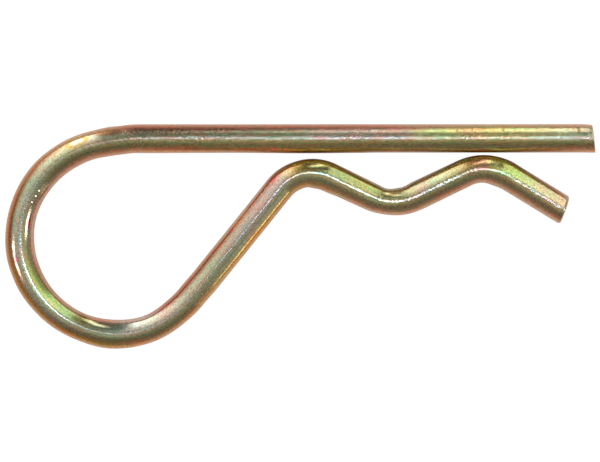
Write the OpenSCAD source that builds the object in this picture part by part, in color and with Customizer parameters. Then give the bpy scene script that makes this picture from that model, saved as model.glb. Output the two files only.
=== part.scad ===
// Hairpin cotter, or R-clip: one length of round spring wire, bent to shape in one plane.
// The straight leg goes through the hole drilled across a shaft. The sprung leg then snaps
// over the outside of that shaft, which lies in the seat between the leg's two humps.
//
// The clip lies flat, with its bends in a level plane. The legs run towards +X from the
// eye, and the straight leg is on the +Y side. The origin is on the ground, under the
// middle of the clip's outline. Lengths are in millimetres and angles in degrees.

/* [Wire] */
// Diameter of the spring wire
wire_d = 4.5; // [3:0.1:5.4]
// How much the wire's radius draws in where it has been bent
bend_draw = 0.01; // [0.005:0.001:0.03]
// Length of the neck where it draws in, at the end of each straight
neck_l = 0.15; // [0.1:0.01:0.3]

/* [Straight leg] */
// Straight length of the leg, from its sheared end to its first bend
leg_l = 73.3; // [60:0.1:90]
// Slant of the leg's sheared end
leg_shear = 5.5; // [0:0.5:15]
// Bevel around the leg's sheared end
leg_bevel = 0.25; // [0.1:0.05:0.6]

/* [Lead into the eye] */
// Inside radius of the slight bend where the leg starts to turn
lead_r = 15; // [5:1:30]
// Angle of that bend
lead_angle = 9; // [3:1:20]
// Straight length between that bend and the eye
lead_l = 3.5; // [1:0.5:6]

/* [Eye] */
// Inside diameter of the round eye
eye_d = 26.5; // [20:0.5:32]

/* [Hump next to the eye] */
// Distance along the clip from the eye's centre
hump_x = 31.6; // [28:0.2:38]
// Gap between the hump and the straight leg
hump_gap = 1; // [0.6:0.1:2]
// Inside radius of the bend
hump_r = 4.4; // [3:0.2:6]

/* [Seat for the shaft] */
// Distance along the clip from the first hump to the seat
seat_pitch = 13.2; // [12.6:0.2:16]
// Gap between the seat and the straight leg
seat_gap = 5.7; // [4.5:0.1:7]
// Inside radius of the bend
seat_r = 7; // [5:0.5:9]
// Radius of the forming pin that the seat was pressed around
pin_r = 3; // [2:0.5:4]
// Depth of the mark that the forming pin left in the seat
pin_mark = 0.3; // [0.1:0.05:0.6]

/* [Hump next to the tip] */
// Distance along the clip from the seat to this hump
tip_pitch = 14.6; // [14:0.2:18]
// Gap between the hump and the straight leg
tip_gap = 0.6; // [0.3:0.1:1.5]
// Inside radius of the bend
tip_r = 5.6; // [4:0.2:7]

/* [Tail] */
// Angle at which the tail leads away from the straight leg
tail_angle = 31.5; // [20:0.5:45]
// Straight length of the tail
tail_l = 10.4; // [7:0.2:15]
// Slant of the tail's sheared end
tail_shear = 11.5; // [0:0.5:15]
// Bevel around the tail's sheared end
tail_bevel = 0.5; // [0.1:0.05:0.8]

/* [Hidden] */
$fn = 96;

zinc = [0.70, 0.62, 0.38];

wire_r = wire_d / 2;
bent_r = wire_r - bend_draw;
// Radius of the neck's thin end, which is hidden inside the bend
neck_r = wire_r - 3 * bend_draw;
// Length beyond each end of the clip that is sheared off the wire
spare = wire_r;

// Radii at the wire's axis
lead_axis_r = lead_r + wire_r;
eye_axis_r = eye_d / 2 + wire_r;

// A straight is left between two bends that turn opposite ways only if their radii at the
// wire's axis add up to less than this, so closely spaced bends are made tighter to suit.
function room(pitch, depth) = (pitch ^ 2 + depth ^ 2) / (2 * depth);

hump_fit = min(1, 0.97 * room(seat_pitch, seat_gap - hump_gap) / (hump_r + seat_r + wire_d));
tip_fit = min(1, 0.97 * room(tip_pitch, seat_gap - tip_gap) / (seat_r + tip_r + wire_d));
hump_axis_r = (hump_r + wire_r) * hump_fit;
seat_axis_r = (seat_r + wire_r) * min(hump_fit, tip_fit);
tip_axis_r = (tip_r + wire_r) * tip_fit;

// The sizes along the clip are measured from the eye's centre, and those across it from the
// straight leg's axis. Going from the leg's tip to the eye, the wire turns to the left by
// lead_angle, runs straight for lead_l and meets the eye's circle.
leg_start_x = lead_axis_r * sin(lead_angle) + lead_l * cos(lead_angle) - eye_axis_r * sin(lead_angle);
eye_y = -lead_axis_r * (1 - cos(lead_angle)) - lead_l * sin(lead_angle) - eye_axis_r * cos(lead_angle);
leg_tip_x = leg_start_x + leg_l;
seat_x = hump_x + seat_pitch;
tip_x = seat_x + tip_pitch;

// Each bend of the sprung leg as the circle that the wire's axis follows: its centre and its
// radius, which is positive where the wire turns to the left and negative to the right.
EYE = [0, eye_y, eye_axis_r];
HUMP = [hump_x, -wire_d - hump_gap - hump_axis_r, -hump_axis_r];
SEAT = [seat_x, -wire_d - seat_gap + seat_axis_r, seat_axis_r];
TIP = [tip_x, -wire_d - tip_gap - tip_axis_r, -tip_axis_r];

// The straight that joins two bends is the tangent that their circles share.
function apart(a, b) = norm([b.x - a.x, b.y - a.y]);
function heading(a, b) = atan2(b.y - a.y, b.x - a.x) - asin((b.z - a.z) / apart(a, b));
function run(a, b) = sqrt(apart(a, b) ^ 2 - (b.z - a.z) ^ 2);

rise = heading(EYE, HUMP);
dip = heading(HUMP, SEAT);
climb = heading(SEAT, TIP);

// The wire as a bending machine makes it, from the straight leg's tip to the tail's end.
// Each step is a straight, the radius of the bend after it and the angle of that bend.
STEPS = [
    [spare + leg_l, lead_axis_r, lead_angle],
    [lead_l, eye_axis_r, 180 - lead_angle + rise],
    [run(EYE, HUMP), HUMP.z, dip - rise],
    [run(HUMP, SEAT), SEAT.z, climb - dip],
    [run(SEAT, TIP), TIP.z, -tail_angle - climb],
    [tail_l + spare, 0, 0],
];
SEAT_STEP = 3;
TAIL_STEP = 5;

// Outline of the clip, which places its middle over the origin
left_x = -eye_axis_r - bent_r;
right_x = leg_tip_x + (wire_r - leg_bevel) * sin(leg_shear);
front_y = eye_y - eye_axis_r - bent_r;
back_y = wire_r;

// A straight along +X, with a neck at each end
module straight(length) {
    rotate([0, 90, 0])
        rotate_extrude()
            polygon([
                [0, 0], [neck_r, 0], [wire_r, neck_l],
                [wire_r, length - neck_l], [neck_r, length], [0, length],
            ]);
}

// A bend that leaves the origin along +X. It laps over the necks at its two ends, by their
// full length on the inside of the bend.
module bend(radius, turn) {
    lap_angle = neck_l / (abs(radius) - wire_r) * 180 / PI;
    from_angle = turn > 0 ? -90 : 90 + turn;
    translate([0, radius, 0])
        rotate_extrude(angle = abs(turn) + 2 * lap_angle, start = from_angle - lap_angle)
            translate([abs(radius), 0]) circle(r = bent_r);
}

// Moves its children from the start of a step to the start of the next
module after(step) {
    radius = step[1];
    translate([step[0], radius, 0]) rotate([0, 0, step[2]]) translate([0, -radius, 0]) children();
}

// Moves its children from the straight leg's tip to the start of step number n
module at_step(n) {
    if (n == 0) children();
    else at_step(n - 1) after(STEPS[n - 1]) children();
}

// What shearing takes off a straight that is cut at the origin, heading +X: all that lies
// past a slanted face, with a bevel around its rim
module shear(slant, bevel) {
    face_r = wire_r - bevel;
    rotate([0, 0, slant])
        rotate([0, 90, 0])
            rotate_extrude()
                polygon([[0, 0], [face_r, 0], [wire_d, face_r - wire_d], [wire_d, wire_d], [0, wire_d]]);
}

// The side of the forming pin that pressed into the middle of the seat's bend
module forming_pin() {
    step = STEPS[SEAT_STEP];
    inside_r = step[1] - wire_r;
    translate([step[0], step[1], 0])
        rotate([0, 0, step[2] / 2])
            translate([0, -(inside_r + pin_mark - pin_r), -wire_d])
                rotate_extrude(angle = 180, start = 180) square([pin_r, 2 * wire_d]);
}

module bent_wire() {
    for (n = [0 : TAIL_STEP]) at_step(n) straight(STEPS[n][0]);
    for (n = [0 : TAIL_STEP - 1])
        at_step(n) translate([STEPS[n][0], 0, 0]) bend(STEPS[n][1], STEPS[n][2]);
}

module hairpin_clip() {
    color(zinc)
        translate([leg_tip_x + spare - (left_x + right_x) / 2, -(front_y + back_y) / 2, wire_r])
            rotate([0, 0, 180])
                difference() {
                    bent_wire();
                    translate([spare, 0, 0]) rotate([0, 0, 180]) shear(leg_shear, leg_bevel);
                    at_step(TAIL_STEP) translate([tail_l, 0, 0]) shear(tail_shear, tail_bevel);
                    at_step(SEAT_STEP) forming_pin();
                }
}

hairpin_clip();
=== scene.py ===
import math

import bpy
import numpy as np
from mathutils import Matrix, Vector


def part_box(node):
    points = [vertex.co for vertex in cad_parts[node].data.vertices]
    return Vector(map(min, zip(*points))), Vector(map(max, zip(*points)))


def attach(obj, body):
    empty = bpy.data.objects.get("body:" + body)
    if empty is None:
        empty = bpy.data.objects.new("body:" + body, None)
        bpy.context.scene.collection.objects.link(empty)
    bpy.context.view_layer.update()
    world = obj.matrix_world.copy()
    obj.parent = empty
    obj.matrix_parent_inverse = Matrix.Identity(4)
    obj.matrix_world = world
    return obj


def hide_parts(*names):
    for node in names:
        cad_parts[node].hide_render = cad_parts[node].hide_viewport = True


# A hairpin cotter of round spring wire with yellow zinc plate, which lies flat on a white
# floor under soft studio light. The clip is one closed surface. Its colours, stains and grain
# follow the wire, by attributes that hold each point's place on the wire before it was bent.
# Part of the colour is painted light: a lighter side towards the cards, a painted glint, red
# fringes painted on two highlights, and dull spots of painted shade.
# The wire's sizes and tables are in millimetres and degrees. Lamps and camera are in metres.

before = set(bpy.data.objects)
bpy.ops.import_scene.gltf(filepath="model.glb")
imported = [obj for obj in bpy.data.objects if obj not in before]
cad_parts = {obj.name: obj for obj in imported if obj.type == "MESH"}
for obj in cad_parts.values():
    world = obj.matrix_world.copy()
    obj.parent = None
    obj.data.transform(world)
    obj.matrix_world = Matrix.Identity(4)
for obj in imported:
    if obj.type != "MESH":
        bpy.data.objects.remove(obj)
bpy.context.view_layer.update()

MM = 0.001              # in metres
WIRE_R = 2.25
BENT_R = 2.24           # the wire's radius in its bends

# The straight parts of the wire and its bends, whose radii are at the wire's axis
LEG = 73.5              # the straight leg, up to its slight bend
TIP_AT = 0.2            # where the leg's tip is cut, measured along the wire
LEAD_R = 17.25          # the slight bend
LEAD_TURN = 9
LEAD = 3.5              # the straight between that bend and the eye
EYE_R = 15.5
TAIL = 10.4
TAIL_TURN = 31.5        # how far the tail leads away from the straight leg

# The bends of the sprung leg: the distance along X from the eye's centre, the gap there between
# the wire and the straight leg, and the radius, which is below 0 where the wire turns right
FIRST_HUMP = (31.6, 1.0, -6.65)
SEAT = (44.8, 5.7, 9.25)
SECOND_HUMP = (59.4, 0.6, -7.85)

# How far the wire's two sides lie from its axis: the distance along the wire, the left side
# and the right side. It is pinched where the tool gripped it, and spreads next to each bend.
SIDES = np.array([
    (0, 2.25, 2.28), (2, 2.21, 2.37), (20, 2.22, 2.36), (36, 2.22, 2.36), (37.5, 2.27, 2.37),
    (48, 2.33, 2.36), (58, 2.26, 2.35), (72, 2.30, 2.35), (76, 2.28, 2.34), (78, 2.23, 2.46),
    (81, 2.23, 2.31), (86, 2.31, 2.36), (90, 2.28, 2.46), (98, 2.15, 2.42), (104, 2.25, 2.47),
    (108, 2.34, 2.36), (114, 2.37, 2.18), (120, 2.34, 2.10), (125, 2.38, 2.32), (131, 2.24, 2.24),
    (137, 2.55, 2.04), (140, 2.52, 2.12), (144, 2.42, 2.25), (155, 2.42, 2.24), (162, 2.44, 2.22),
    (167, 2.27, 2.24), (169.5, 2.29, 2.50), (171.5, 2.31, 2.50), (175, 2.33, 2.28),
    (179, 2.35, 2.16), (181.5, 2.08, 2.11), (184, 2.26, 2.18), (187, 2.56, 2.13), (194, 2.53, 2.07),
    (197.5, 2.50, 1.95), (201, 2.45, 2.27), (204, 2.40, 2.21), (213.13, 2.40, 2.21),
])

# Soft spots on the wire's skin: the distance along the wire, degrees from the top towards the
# left, half length and half width. The red spots are stains of the plate's film. The deep red
# spots paint red fringes on the edges of two highlights in the eye. The dull spots darken the
# film; those at 92.6, 166.9, 170.4 and 182.2 are painted shade that dims reflections on the wire.
STAINS = {
    "red_stain": [
        (4.2, 49, 0.22, 0.16), (51.9, 49, 0.50, 0.27), (69.0, 46, 0.22, 0.14),
        (112.2, -43, 0.22, 0.15), (115.5, -43, 0.50, 0.20), (128.3, -40, 0.25, 0.15),
        (152.5, 50, 0.50, 0.34), (163.0, 50, 0.58, 0.38), (172.8, -9, 1.6, 0.10),
        (196.0, -9, 0.45, 0.12), (200.1, -8, 0.35, 0.10), (109.2, 9, 0.8, 0.12),
    ],
    # painted red fringes on the edges of two highlights in the eye
    "red_glint_fringe": [(98.9, 35, 1.5, 0.24), (104.7, -23.5, 1.2, 0.20)],
    # dull spots; those at 92.6, 166.9, 170.4 and 182.2 are painted shade that dims reflections
    "dull_stain_and_shade": [
        (2.7, -37, 0.30, 0.55), (14.8, -35, 0.25, 0.40), (118.9, 26, 1.0, 0.5),
        (119.8, 38, 1.3, 1.0), (92.6, 49, 1.6, 0.30), (182.2, 29, 1.2, 0.34),
        (166.9, 28, 1.2, 0.65), (170.4, 31, 0.8, 0.35), (78.0, -36, 2.2, 0.50),
        (196.3, 38, 0.65, 0.60), (200.7, 31, 0.45, 0.60), (197.2, 41, 1.3, 0.16),
    ],
}

# A painted glint: a pale spot that paints a highlight, ringed with gold, laid out as a stain is
GLINT_RING = (83.3, -33.5, 1.55, 0.66)

# Nicks in the plate: the distance along the wire, degrees from the top towards the left, and
# how far the nick's flat floor leans back along the wire and to the left
NICKS = [(93.0, 26, 0.185, -0.01), (94.1, 25, 0.162, 0.015), (95.3, 21.5, 0.14, 0.08)]
NICK_R = 0.13

# The sheared ends
SLANTS = (5.5, 11.5)    # of the leg's end and the tail's
LEAN_OVER = 4           # length over which the wire's rings lean over to the slant
END_ZONE = 2            # length from an end in which its sheared face lies
DISH = 0.06             # depth of an end face in its middle
RIM_TURNS = (90, 72, 54, 36, 18, 0)                     # of the rings that roll over the rim
FACE_RINGS = (0.16, 0.34, 0.52, 0.70, 0.84, 0.94)       # radii of an end face's rings

AROUND = 64             # faces around the wire
STEP_LENGTH = 0.26      # length of a face along the wire
RINGS_IN = (1.2, 1.0)   # distances from the two ends at which the full rings start and stop

# The plate's film
FILM_LENGTH = 213.33    # length of wire that the film's tables are spread over
WANDER = 0.0016         # how far the colours stray to and fro, as a share of that length
SIDE_BLEND = 1.8        # how sharply the right side's colours give way to the left side's
TURN_BLEND = 0.20       # how much more the surface turns away until its colour has changed
BUMP_STRENGTH = 0.7
BUMP_DEPTH = 0.00004    # in metres, for a relief of 1


def bending_steps():
    """The wire as the bending machine makes it, from the straight leg's tip to the end of the
    tail: a straight, the radius of the bend after it and that bend's angle. The straight
    between two bends is the tangent that their circles share. With the centres d apart and
    radii that differ by g, its length is the root of d^2 - g^2, and it is turned from the
    line between the centres by the angle whose sine is g/d. The last straight has no bend.
    Places across the clip are counted from the straight leg's axis."""
    turn = math.radians(LEAD_TURN)
    x, gap, radius = np.array([FIRST_HUMP, SEAT, SECOND_HUMP]).T
    y = radius - 2 * WIRE_R - gap
    eye_y = -LEAD_R * (1 - math.cos(turn)) - LEAD * math.sin(turn) - EYE_R * math.cos(turn)
    x, y, radius = np.append(0, x), np.append(eye_y, y), np.append(EYE_R, radius)
    apart = np.hypot(np.diff(x), np.diff(y))
    growth = np.diff(radius)
    heading = np.degrees(np.arctan2(np.diff(y), np.diff(x)) - np.arcsin(growth / apart))
    turns = np.diff(heading, prepend=LEAD_TURN - 180, append=-TAIL_TURN)
    straights = np.sqrt(apart ** 2 - growth ** 2)
    return np.stack([[LEG, LEAD, *straights, TAIL], [LEAD_R, *radius, 1], [LEAD_TURN, *turns, 0]], 1)


STEPS = bending_steps()


def heading_and_place(along):
    """The wire's axis at distances along it. The heading is 180 degrees at the leg's tip and
    changes evenly through each bend. A place is the sum of the short chords up to it, each
    of them the arc's length times sin(t)/t, t being half the angle that the arc turns."""
    straight, radius, turn = STEPS.T
    arc = np.abs(radius * np.radians(turn))
    arc[-1] = 1e-6      # no bend, but still a length to divide by
    start = np.cumsum(straight) + np.concatenate([[0], np.cumsum(arc)[:-1]])
    knots = np.unique(np.concatenate([along.ravel(), start, start + arc, [0.0]]))
    heading = math.pi + (np.radians(turn) * np.clip((knots[:, None] - start) / arc, 0, 1)).sum(1)
    gap, swing = np.diff(knots), np.diff(heading)
    middle = heading[:-1] + swing / 2
    chord = gap * np.sinc(swing / 2 / math.pi)
    x = np.concatenate([[0], np.cumsum(chord * np.cos(middle))])
    y = np.concatenate([[0], np.cumsum(chord * np.sin(middle))])
    tip = np.searchsorted(knots, 0.0)
    pick = np.searchsorted(knots, along)
    return heading[pick], x[pick] - x[tip], y[pick] - y[tip]


def leg_from_eye():
    """Distance along X from the eye's centre to the leg's tip, which is the leg and
    r sin(t) + d cos(t) - e sin(t). The lead bend has the radius r and the angle t, the
    straight after it has the length d, and e is the eye's radius."""
    turn = math.radians(LEAD_TURN)
    return LEAD_R * math.sin(turn) + LEAD * math.cos(turn) - EYE_R * math.sin(turn) + LEG


def smooth(at, knots, values):
    """Values between knots, eased by t * t * (3 - 2 t) so that the slope is zero at each knot."""
    i = np.clip(np.searchsorted(knots, at) - 1, 0, len(knots) - 2)
    t = np.clip((at - knots[i]) / (knots[i + 1] - knots[i]), 0, 1)
    t = t * t * (3 - 2 * t)
    return values[i] * (1 - t) + values[i + 1] * t


def end_rings(rim, burr, up):
    """Distance in from a sheared end, and the share of the full radius, of the rings of its
    face and its rim. The rim is a quarter turn with a radius of rim: in by 1 - sin(t), less
    the burr that stands out by sin(t)^4, and narrower by 1 - cos(t). The face is dished by
    the square of the distance from its middle, and its lower part is torn deeper."""
    turn = np.radians(RIM_TURNS)[:, None]
    ring = np.array(FACE_RINGS)[:, None]
    rim_in = rim * (1 - np.sin(turn)) - burr * np.sin(turn) ** 4
    rim_share = 1 - rim / WIRE_R * (1 - np.cos(turn))
    tear = 0.08 * np.clip(0.15 - up * 0.9, 0, 1) * ring ** 0.5
    face_in = 0.05 * (1 - ring ** 2) + tear + rim_in[0] * ring ** 6
    return np.vstack([face_in, rim_in]), np.vstack([rim_share[0] * ring, rim_share])


def wire_mesh(name):
    """A round profile carried along the bent axis. A point of a ring at the angle t from the
    top lies R sin(t) + (w - R) sin(t)^3 + (a - b)/4 cos(t)^2 to the left and R cos(t) up. R is
    the wire's radius, a and b are its half widths on the left and right, and w is the one on
    the point's own side. Towards each end the rings lean over to the shear's slant, then roll
    over the rim, and shrink to a point in the middle of the end face."""
    total = STEPS[:, 0].sum() + np.abs(STEPS[:-1, 1] * np.radians(STEPS[:-1, 2])).sum()
    around = np.arange(AROUND) / AROUND * 2 * math.pi
    side, up = np.sin(around), np.cos(around)

    # The rim of the leg's tip is rolled over more on its right, with a burr on its left. The
    # tail's is rolled over all round.
    tip_in, tip_share = end_rings(0.17 - 0.10 * side, 0.10 * np.clip(side, 0, 1) ** 4, up)
    tail_in, tail_share = end_rings(0.48 + 0.04 * side, 0, up)
    count = int((total - sum(RINGS_IN)) / STEP_LENGTH)
    body = np.linspace(RINGS_IN[0], total - RINGS_IN[1], count)
    along = np.vstack([TIP_AT + tip_in, np.repeat(body[:, None], AROUND, 1), total - tail_in[::-1]])
    share = np.vstack([tip_share, np.ones((len(body), AROUND)), tail_share[::-1]])

    left, right = smooth(along, SIDES[:, 0], SIDES[:, 1]), smooth(along, SIDES[:, 0], SIDES[:, 2])
    spread = np.where(side > 0, left, right) - WIRE_R
    drift = (left - right) / 4 * (1 - side ** 2)
    across = share * (WIRE_R * side + spread * side ** 3 + drift)
    height = WIRE_R * share * up
    for distance, slant in zip((along, total - along), SLANTS):
        lean = np.clip(1 - distance / LEAN_OVER, 0, 1) ** 2 * math.tan(math.radians(slant))
        along = along - across * lean
    rings = len(along)

    # The points of all rings, and then the middle of each end face
    middles, no = [TIP_AT + DISH, total - DISH], [0.0, 0.0]
    along = np.concatenate([along.ravel(), middles])
    across = np.concatenate([across.ravel(), no])
    height = np.concatenate([height.ravel(), no])
    skin_left = np.concatenate([(share * side).ravel(), no]) * WIRE_R
    skin_up = np.concatenate([(share * up).ravel(), no]) * WIRE_R
    share = np.concatenate([share.ravel(), no])

    heading, x, y = heading_and_place(along)
    low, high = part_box("hairpin_clip")
    tip_x = low[0] / MM + BENT_R + EYE_R + leg_from_eye()
    axis_y = high[1] / MM - WIRE_R
    place = np.stack([tip_x + x - across * np.sin(heading), axis_y + y + across * np.cos(heading),
                      WIRE_R + height], 1)

    ring, j = np.meshgrid(np.arange(rings - 1), np.arange(AROUND), indexing="ij")
    a, b = ring * AROUND + j, ring * AROUND + (j + 1) % AROUND
    quads = np.stack([a, a + AROUND, b + AROUND, b], -1).reshape(-1, 4)
    j = np.arange(AROUND)
    last = (rings - 1) * AROUND
    tip_middle, tail_middle = rings * AROUND, rings * AROUND + 1
    tip_fan = np.stack([np.full(AROUND, tip_middle), j, (j + 1) % AROUND], 1)
    tail_fan = np.stack([np.full(AROUND, tail_middle), last + (j + 1) % AROUND, last + j], 1)
    mesh = bpy.data.meshes.new(name)
    mesh.from_pydata(place * MM, [], quads.tolist() + tip_fan.tolist() + tail_fan.tolist())
    mesh.polygons.foreach_set("use_smooth", np.ones(len(mesh.polygons), bool))

    unbent = np.stack([along, skin_left, skin_up], 1)
    layer = mesh.attributes.new("straight_wire", "FLOAT_VECTOR", "POINT")
    layer.data.foreach_set("vector", (unbent * MM).astype(np.float32).ravel())

    # The sheared faces: 1 on an end face, fading out over the rim
    near_end = (along < END_ZONE) | (along > total - END_ZONE)
    face = near_end * np.clip((0.99 - share) / 0.06, 0, 1)
    layer = mesh.attributes.new("sheared_face", "FLOAT", "POINT")
    layer.data.foreach_set("value", face.astype(np.float32))

    # The stains: exp(-q^2), where q is the squared distance from the stain's middle, counted
    # in its half length and half width
    turned = np.degrees(np.arctan2(skin_left, skin_up))
    for kind, spots in STAINS.items():
        amount = np.zeros(len(along))
        for at, turn, long, wide in spots:
            off = ((along - at) / long) ** 2 + ((turned - turn) * WIRE_R * math.pi / 180 / wide) ** 2
            amount = np.maximum(amount, np.exp(-off ** 2))
        layer = mesh.attributes.new(kind, "FLOAT", "POINT")
        layer.data.foreach_set("value", amount.astype(np.float32))
    mesh.update()
    return mesh


# ---------------------------------------------------------------- shader nodes

def node(tree, kind, inputs=None, **settings):
    """Adds a node, with its settings and its inputs: a value, or another node's output."""
    n = tree.nodes.new("ShaderNode" + kind)
    for key, value in settings.items():
        setattr(n, key, value)
    for key, value in (inputs or {}).items():
        if isinstance(value, bpy.types.NodeSocket):
            tree.links.new(value, n.inputs[key])
        else:
            n.inputs[key].default_value = value
    return n


def math_node(tree, operation, *values, clamp=False):
    return node(tree, "Math", dict(enumerate(values)), operation=operation, use_clamp=clamp).outputs[0]


def vector_node(tree, operation, a, b):
    return node(tree, "VectorMath", {0: a, 1: b}, operation=operation).outputs[0]


def length_of(tree, vector):
    return node(tree, "VectorMath", {0: vector}, operation="LENGTH").outputs["Value"]


def noise(tree, vector, scale, detail, roughness):
    return node(tree, "TexNoise", {"Vector": vector, "Scale": scale, "Detail": detail,
                                   "Roughness": roughness}).outputs[0]


def attribute(tree, name, output="Fac"):
    return node(tree, "Attribute", attribute_name=name, attribute_type="GEOMETRY").outputs[output]


def ramp(tree, fac, stops, interpolation="EASE"):
    """A colour for each value, given at a few stops. A stop's fourth number is its alpha."""
    n = node(tree, "ValToRGB", {"Fac": fac})
    n.color_ramp.interpolation = interpolation
    e = n.color_ramp.elements
    while len(e) > 1:
        e.remove(e[-1])
    for k, (at, colour) in enumerate(stops):
        s = e[0] if k == 0 else e.new(at)
        s.position = at
        s.color = (*colour, 1) if len(colour) == 3 else colour
    return n.outputs[0]


def mix(tree, fac, a, b, blend="MIX"):
    n = node(tree, "Mix", data_type="RGBA", blend_type=blend)
    for key, value in ((0, fac), (6, a), (7, b)):
        if isinstance(value, bpy.types.NodeSocket):
            tree.links.new(value, n.inputs[key])
        else:
            n.inputs[key].default_value = (*value, 1) if key and len(value) == 3 else value
    return n.outputs[2]


def grey(v):
    return (v, v, v)


def level(tree, value, stops):
    """A level for each value, given at a few stops and changing evenly between them. At most
    32 stops fit."""
    return ramp(tree, value, [(at, grey(v)) for at, v in stops], "LINEAR")


def empty_tree(owner):
    owner.use_nodes = True
    owner.node_tree.nodes.clear()
    return owner.node_tree


# ---------------------------------------------------------------- the plate

# The film on the right side: the distance along the wire, the colour head on, and how far the
# surface turns away before the colour changes. Besides the film's own colours the tables hold
# painted light: the side facing +Y, towards the cards behind the straight leg, is painted
# lighter and turns later, which is the right side along the straight leg and the left side
# along the sprung leg, and the side away from them darker and sooner. Pale rows such as 80.6
# and 84.5 paint highlights.
RIGHT_FILM_AND_PAINTED_LIGHT = [
    (0, .80, .76, .52, .22), (12, .80, .80, .34, .22), (16, .84, .76, .30, .22),
    (18.5, .98, .66, .28, .20), (21, .92, .60, .28, .18), (23.5, .70, .86, .34, .17),
    (28, .70, .72, .32, .16), (31, .70, .50, .38, .15), (44, .66, .52, .40, .14),
    (48, .48, .51, .31, .12), (60, .46, .41, .26, .10), (79.2, .47, .40, .26, .10),
    (80.6, .92, .84, .60, .20), (84.5, .96, .82, .44, .24), (88, .76, .74, .48, .13),
    (93, .58, .62, .42, .10), (102, .56, .58, .44, .10), (106, .60, .50, .34, .10),
    (116, .56, .50, .36, .07), (123, .54, .50, .26, .06), (132, .56, .52, .26, .06),
    (147, .66, .62, .36, .08), (155, .72, .66, .44, .08), (164, .68, .66, .36, .08),
    (182, .62, .52, .25, .06), (197, .62, .54, .26, .06), (213, .62, .47, .24, .06),
]
# The same on the left side
LEFT_FILM_AND_PAINTED_LIGHT = [
    (0, .64, .54, .23, .06), (54, .78, .62, .26, .06), (88, .52, .46, .21, .07),
    (95, .66, .58, .36, .12), (104, .58, .58, .28, .12), (109, .53, .63, .18, .16),
    (117, .46, .60, .26, .20), (120, .46, .49, .22, .18), (123, .64, .70, .42, .18),
    (129, .86, .86, .72, .26), (133, .82, .74, .56, .22), (135, .78, .64, .50, .15),
    (146, .64, .62, .40, .10), (151, .66, .53, .42, .09), (163.5, .78, .58, .50, .13),
    (164.8, .82, .66, .40, .18), (165.4, .94, .68, .30, .22), (166.2, .64, .55, .20, .26),
    (168.3, .60, .54, .20, .28), (169.3, .54, .62, .26, .30), (179, .58, .66, .25, .34),
    (181, .62, .64, .28, .20), (182.7, .98, 1.0, .50, .16), (184.5, .66, .62, .30, .24),
    (188, .76, .60, .42, .34), (192, .74, .78, .42, .40), (196, .60, .44, .17, .30),
    (198.3, .98, .47, .28, .28), (199.6, .66, .76, .26, .30), (203, .56, .74, .22, .32),
    (207.5, .70, .68, .38, .32), (212, .78, .62, .38, .30),
]
# The film and its painted light on the right side once the surface has turned well away
RIGHT_FAR_FILM_AND_PAINTED_LIGHT = [
    (0, .78, .50, .30), (17, .72, .54, .23), (28, .76, .42, .27), (34, .75, .31, .21),
    (75, .76, .31, .20), (83, .94, .60, .30), (89, .86, .38, .18), (100, .80, .32, .12),
    (110, .76, .34, .09), (125, .74, .38, .11), (131, .74, .34, .16), (145, .86, .48, .17),
    (155, .90, .44, .10), (163, .84, .46, .16), (170, .78, .38, .16), (178, .76, .40, .22),
    (213, .78, .42, .24),
]
# The same on the left side. Pale rows such as 192 paint light into reflections of the straight leg.
LEFT_FAR_FILM_AND_PAINTED_LIGHT = [
    (0, .76, .36, .19), (14, .60, .38, .20), (18, .46, .42, .25), (27, .50, .36, .20),
    (35, .62, .36, .17), (50, .66, .38, .15), (75, .76, .35, .18), (90, .80, .43, .29),
    (100, .86, .56, .42), (110, .74, .44, .30), (118, .76, .48, .30), (124, .84, .39, .30),
    (130, .94, .76, .70), (136, .78, .27, .17), (146, .76, .30, .18), (155, .88, .54, .30),
    (163, .94, .52, .50), (166, .86, .80, .40), (170, .78, .80, .50), (177, .72, .73, .52),
    (182.7, .80, .78, .55), (188, .72, .64, .48), (192, .96, 1.0, .80), (197, .92, .84, .50),
    (203, .70, .76, .68), (208, .66, .54, .48), (213, .68, .50, .42),
]
COPPER = (0.86, 0.56, 0.40)     # the film's colour where it is seen from its edge
# Height of the grain, by the distance along the wire
GRAIN_LEVELS = [
    (0, 1.3), (60, 1.3), (74, 0.9), (82, 0.3), (140, 0.3), (160, 0.4), (180, 0.6), (190, 0.9), (213, 0.8),
]


def film_and_painted_light(t, along, across):
    """The film's colour drifts along the wire and changes from side to side, with painted light:
    the side towards the cards behind the straight leg is painted lighter and turns later. On each
    side it turns to a second colour as the surface turns away, and to copper at its edge."""
    def drift(table):
        n = ramp(t, along, [(row[0] / FILM_LENGTH, row[1:]) for row in table], "LINEAR")
        return n, n.node.outputs["Alpha"]

    right, right_turn = drift(RIGHT_FILM_AND_PAINTED_LIGHT)
    left, left_turn = drift(LEFT_FILM_AND_PAINTED_LIGHT)
    right_far, _ = drift(RIGHT_FAR_FILM_AND_PAINTED_LIGHT)
    left_far, _ = drift(LEFT_FAR_FILM_AND_PAINTED_LIGHT)
    head_on = mix(t, across, right, left)
    turned_away = mix(t, across, right_far, left_far)
    starts = node(t, "Mix", {0: across, 2: right_turn, 3: left_turn}).outputs[0]

    glance = node(t, "LayerWeight", {"Blend": 0.5}).outputs["Facing"]
    turned = math_node(t, "DIVIDE", math_node(t, "SUBTRACT", glance, starts), TURN_BLEND, clamp=True)
    colour = mix(t, turned, head_on, turned_away)
    return mix(t, level(t, glance, [(0.40, 0), (0.80, 1)]), colour, COPPER)


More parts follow.
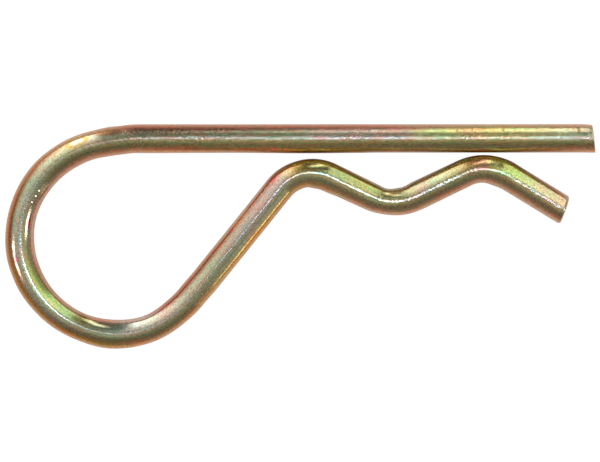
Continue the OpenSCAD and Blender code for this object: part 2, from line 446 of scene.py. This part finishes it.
def painted_glint(t, colour, along, left, up):
    """The painted glint: a pale core that paints a highlight and a gold rim around it, by the distance
    from the ring's middle.
    """
    at, turn, long, wide = GLINT_RING
    turned = math_node(t, "ARCTAN2", left, up)
    off_along = math_node(t, "MULTIPLY_ADD", along, 1 / (long * MM), -at / long)
    off_around = math_node(t, "MULTIPLY_ADD", turned, WIRE_R / wide, -math.radians(turn) * WIRE_R / wide)
    away = length_of(t, node(t, "CombineXYZ", {0: off_along, 1: off_around}).outputs[0])
    pale = ramp(t, away, [(0.45, grey(0.8)), (0.8, grey(0.0))])
    colour = mix(t, pale, colour, (1.0, 0.93, 0.74))
    gold = ramp(t, math_node(t, "MULTIPLY", away, 0.5),
                [(0.32, grey(0)), (0.44, grey(0.9)), (0.56, grey(0.9)), (0.68, grey(0))])
    return mix(t, gold, colour, (1.0, 0.58, 0.18))


def nicked(t, relief, wire):
    """Relief with the nicks: inside a nick's radius, a flat floor that leans is added."""
    unit = BUMP_STRENGTH * BUMP_DEPTH
    for at, turn, back, lean in NICKS:
        sin, cos = math.sin(math.radians(turn)), math.cos(math.radians(turn))
        middle = (at * MM, WIRE_R * sin * MM, WIRE_R * cos * MM)
        off = vector_node(t, "SUBTRACT", wire, middle)
        slope = (back / unit, -lean * cos / unit, lean * sin / unit)
        floor_height = node(t, "VectorMath", {0: off, 1: slope}, operation="DOT_PRODUCT").outputs["Value"]
        inside = math_node(t, "LESS_THAN", length_of(t, off), NICK_R * MM)
        relief = math_node(t, "MULTIPLY_ADD", inside, floor_height, relief)
    return relief


def plating():
    """Yellow zinc plate on drawn wire: the film's colour, partly painted light, with fine drawing
    streaks, stains and grain, painted shade in some dull spots, a painted glint, red fringes
    painted on two highlights, and torn metal on the sheared faces."""
    m = bpy.data.materials.new("yellow_zinc_plate")
    t = empty_tree(m)
    wire = attribute(t, "straight_wire", "Vector")
    along, left, up = node(t, "SeparateXYZ", {0: wire}).outputs
    wander = noise(t, wire, 420.0, 3.0, 0.55)
    shifted = math_node(t, "MULTIPLY_ADD", wander, 2 * WANDER,
                        math_node(t, "MULTIPLY_ADD", along, 1 / MM / FILM_LENGTH, -WANDER))
    across = math_node(t, "MULTIPLY_ADD", left, SIDE_BLEND / (WIRE_R * MM), 0.5, clamp=True)
    colour = film_and_painted_light(t, shifted, across)

    streak = noise(t, vector_node(t, "MULTIPLY", wire, (0.12, 1.0, 1.0)), 3000.0, 2.0, 0.6)
    tint = ramp(t, streak, [(0.28, (1.22, 0.82, 0.72)), (0.5, grey(1.0)), (0.72, (0.74, 1.06, 0.96))],
                "LINEAR")
    colour = mix(t, 1.0, colour, tint, "MULTIPLY")
    colour = mix(t, attribute(t, "red_stain"), colour, (1.0, 0.26, 0.22))
    # deep red at the edges of two highlights, painting the highlights' red fringes
    colour = mix(t, attribute(t, "red_glint_fringe"), colour, (0.50, 0.03, 0.09))
    # dull spots, some of them painted shade that dims reflections
    dulled_and_shaded = mix(t, 1.0, colour, (0.52, 0.45, 0.36), "MULTIPLY")
    colour = mix(t, attribute(t, "dull_stain_and_shade"), colour, dulled_and_shaded)
    # painted glint: a pale highlight ringed with gold
    colour = painted_glint(t, colour, along, left, up)

    grain = noise(t, wire, 3000.0, 2.0, 0.6)
    fine = noise(t, wire, 5200.0, 1.0, 0.5)
    grain = math_node(t, "MULTIPLY_ADD", fine, 0.9, math_node(t, "MULTIPLY", grain, 0.5))
    speck = level(t, fine, [(0.28, 0.62), (0.5, 1.0), (0.72, 1.30)])
    colour = mix(t, 1.0, colour, speck, "MULTIPLY")
    relief = math_node(t, "MULTIPLY", grain,
                       level(t, shifted, [(at / FILM_LENGTH, v) for at, v in GRAIN_LEVELS]))
    relief = nicked(t, relief, wire)

    sheared = attribute(t, "sheared_face")
    tear = noise(t, vector_node(t, "MULTIPLY", wire, (0.2, 0.3, 1.6)), 3200.0, 3.0, 0.7)
    torn = ramp(t, tear, [(0.3, (0.62, 0.55, 0.44)), (0.7, (0.95, 0.86, 0.70))], "LINEAR")
    colour = mix(t, math_node(t, "MULTIPLY", sheared, 0.8), colour, torn)
    relief = math_node(t, "ADD", relief,
                       math_node(t, "MULTIPLY", sheared, math_node(t, "MULTIPLY", tear, 2.5)))
    rough = node(t, "MapRange", {"Value": sheared, "To Min": 0.13, "To Max": 0.32}).outputs[0]

    bump = node(t, "Bump", {"Height": relief, "Strength": BUMP_STRENGTH, "Distance": BUMP_DEPTH})
    shader = node(t, "BsdfPrincipled", {
        "Base Color": colour, "Metallic": 1.0, "Roughness": rough, "Normal": bump.outputs[0],
        "Specular Tint": (1.0, 0.80, 0.66, 1),
    })
    node(t, "OutputMaterial", {0: shader.outputs[0]})
    return m


# ---------------------------------------------------------------- the piece

def add(name, data):
    obj = bpy.data.objects.new(name, data)
    bpy.context.collection.objects.link(obj)
    return obj


wire = add("bent_wire", wire_mesh("bent_wire"))
wire.data.materials.append(plating())
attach(wire, "root")
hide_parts("hairpin_clip")


# ---------------------------------------------------------------- floor

def floor_material():
    """A white floor. The camera sees an even glow and a little of the lamps' light, in which
    the clip casts its shadow. In the clip's reflections the floor is a painted glow that dims the
    further off it is, with painted shade where the clip itself covers it."""
    m = bpy.data.materials.new("white_floor")
    t = empty_tree(m)
    path = node(t, "LightPath").outputs
    # the painted glow seen in reflections, dimming with the ray's length
    reflected = level(t, math_node(t, "DIVIDE", path["Ray Length"], 0.05), [
        (0.0, 0.62), (0.075, 0.52), (0.155, 0.34), (0.32, 0.19), (0.6, 0.10), (1.0, 0.07)])
    # painted shade from ambient occlusion, where the clip covers the floor
    open_sky = node(t, "AmbientOcclusion", {"Distance": 0.012}, samples=4).outputs["AO"]
    open_sky = math_node(t, "POWER", open_sky, 1.3)
    reflected = mix(t, 1.0, reflected, open_sky, "MULTIPLY")
    glow = node(t, "Emission", {
        "Color": mix(t, path["Is Camera Ray"], reflected, grey(0.97)), "Strength": 1.0})
    matt = node(t, "BsdfDiffuse", {"Color": mix(t, path["Is Camera Ray"], grey(0.42), grey(0.12))})
    both = node(t, "AddShader", {0: glow.outputs[0], 1: matt.outputs[0]})
    node(t, "OutputMaterial", {0: both.outputs[0]})
    return m


def floor(half):
    mesh = bpy.data.meshes.new("floor")
    corners = [(-half, -half, 0), (half, -half, 0), (half, half, 0), (-half, half, 0)]
    mesh.from_pydata(corners, [], [(0, 1, 2, 3)])
    mesh.materials.append(floor_material())
    add("floor", mesh)


floor(half=3)


# ---------------------------------------------------------------- light

def lamp(name, place, aim, size, radiance, colour=(1, 1, 1)):
    """A rectangle or disc light of a given brightness, seen in reflections but not directly."""
    data = bpy.data.lights.new(name, "AREA")
    if isinstance(size, tuple):
        data.shape, data.size, data.size_y = "RECTANGLE", size[0], size[1]
        area = size[0] * size[1]
    else:
        data.shape, data.size = "DISK", size
        area = math.pi * size ** 2 / 4
    data.energy = radiance * area * math.pi
    data.color = colour
    obj = add(name, data)
    obj.location = place
    obj.rotation_euler = (Vector(aim) - Vector(place)).to_track_quat("-Z", "Y").to_euler()
    obj.visible_camera = False


# Overhead, for the line of light on the wire's crest
lamp("top_lamp", (0.055, 0.068, 0.80), (0.055, 0.068, 0.0), (0.100, 0.062), 9.4, (0.76, 0.93, 2.0))
lamp("top_lamp_left", (-0.020, 0.040, 0.80), (-0.020, 0.040, 0.0), 0.030, 3.8, (0.76, 0.93, 1.9))
lamp("eye_lamp", (-0.0633, -0.0141, 0.20), (-0.0633, -0.0141, 0.0), 0.016, 2.2, (0.80, 1.0, 1.7))
# Behind the straight leg, for the band along it
lamp("card_right", (0.056, 0.28, 0.087), (0.056, 0.0, 0.087), (0.040, 0.146), 2.05)
lamp("card_middle", (0.020, 0.28, 0.175), (0.020, 0.0, 0.175), (0.032, 0.120), 1.7)
lamp("card_left", (-0.007, 0.28, 0.195), (-0.007, 0.0, 0.195), (0.022, 0.11), 0.50)
# To the left and right, for the small bright highlights in the eye
lamp("left_lamp", (-0.4145, -0.0760, 0.275), (0, 0, 0), (0.112, 0.125), 4.8, (1.0, 0.98, 1.1))
lamp("right_lamp", (0.413, -0.0755, 0.345), (0, 0, 0), (0.108, 0.195), 4.8, (1.0, 0.98, 1.1))
# In front on the right, for the gold line along the eye's diagonal side
lamp("low_card", (0.2306, -0.1919, 0.040), (-0.0025, -0.003, 0.040), (0.026, 0.040), 2.2)
lamp("low_card_back", (0.2306, -0.1919, 0.20), (-0.0025, -0.003, 0.20), (0.030, 0.25), 0.28)

# The grey studio around the clip: its brightness by height, from 0 at the horizon to 1 overhead
STUDIO = [(0.0, 0.34), (0.16, 0.27), (0.4, 0.205), (0.6, 0.175), (0.75, 0.22), (0.87, 0.27),
          (0.96, 0.34), (1.0, 0.36)]
# Darker and lighter parts of it, each a level by compass direction times a level by height
DARK_PARTS = [
    ([(70, 0.0), (84, 0.5), (95, 0.5), (100, 0.0)],
     [(0.0, 1.0), (0.55, 1.0), (0.75, 0.55), (0.95, 0.5), (1.0, 0.5)]),
    ([(120, 0.0), (137, 0.35), (150, 0.6), (175, 0.6), (190, 0.0)],
     [(0.0, 1.0), (0.25, 1.0), (0.4, 0.0)]),
]
LIGHT_PARTS = [
    ([(100, 0), (102.5, 1), (113, 1), (127, 0.7), (141, 0.35), (156, 0.15), (180, 0)],
     [(0.0, 1.0), (0.05, 1.1), (0.2, 1.15), (0.45, 1.0), (0.65, 0.65), (0.85, 0.2), (0.95, 0.0)]),
    ([(95, 0), (110, 0.5), (130, 1.0), (165, 1.0), (195, 0.6), (240, 0)],
     [(0.0, 0.0), (0.2, 0.05), (0.4, 0.2), (0.55, 0.40), (0.85, 0.45), (0.96, 0.15), (1.0, 0.0)]),
    ([(72, 0), (67, 1), (46, 1), (38, 0.0)],
     [(0.0, 0.85), (0.08, 0.85), (0.3, 0.8), (0.87, 0.8), (0.93, 0.4), (0.97, 0.0)]),
    ([(60, 0), (44, 0.8), (30, 0.8), (8, 0.35), (-20, 0.1), (-60, 0)],
     [(0.1, 0.0), (0.4, 0.2), (0.6, 0.45), (0.75, 0.8), (0.95, 0.8), (1.0, 0.0)]),
    ([(118, 0), (135, 0.6), (195, 0.6), (225, 1), (275, 1), (300, 0)],
     [(0.86, 0.0), (0.95, 0.14), (1.0, 0.12)]),
]


def studio():
    """The studio's brightness by direction, white where the camera looks straight at it."""
    world = bpy.data.worlds.new("studio")
    bpy.context.scene.world = world
    t = empty_tree(world)
    x, y, height = node(t, "SeparateXYZ", {0: node(t, "TexCoord").outputs["Generated"]}).outputs
    bearing = math_node(t, "ARCTAN2", math_node(t, "MULTIPLY", x, -1.0), y)
    bearing = math_node(t, "MULTIPLY_ADD", bearing, 0.5 / math.pi, 0.5)

    def part(by_way, by_height):
        """The part's level. Its compass directions are in degrees, counted from +X."""
        by_way = level(t, bearing, sorted(((a - 90) / 360 + 0.5, v) for a, v in by_way))
        return mix(t, 1.0, by_way, level(t, height, by_height), "MULTIPLY")

    total = level(t, height, STUDIO)
    for dark in DARK_PARTS:
        total = mix(t, part(*dark), total, grey(0.0))
    for light in LIGHT_PARTS:
        total = mix(t, 1.0, total, part(*light), "ADD")
    colour = mix(t, node(t, "LightPath").outputs["Is Camera Ray"], total, grey(1.0))
    back = node(t, "Background", {"Color": colour, "Strength": 1.0})
    node(t, "OutputWorld", {0: back.outputs[0]})


studio()


# ---------------------------------------------------------------- camera, straight down

camera = bpy.data.cameras.new("camera")
camera.sensor_width, camera.lens = 36, 296.5
camera.clip_start, camera.clip_end = 0.01, 10
view = add("camera", camera)
view.location = (-0.00010, 0.00090, 0.8)
bpy.context.scene.camera = view
bpy.context.scene.view_settings.view_transform = "Standard"
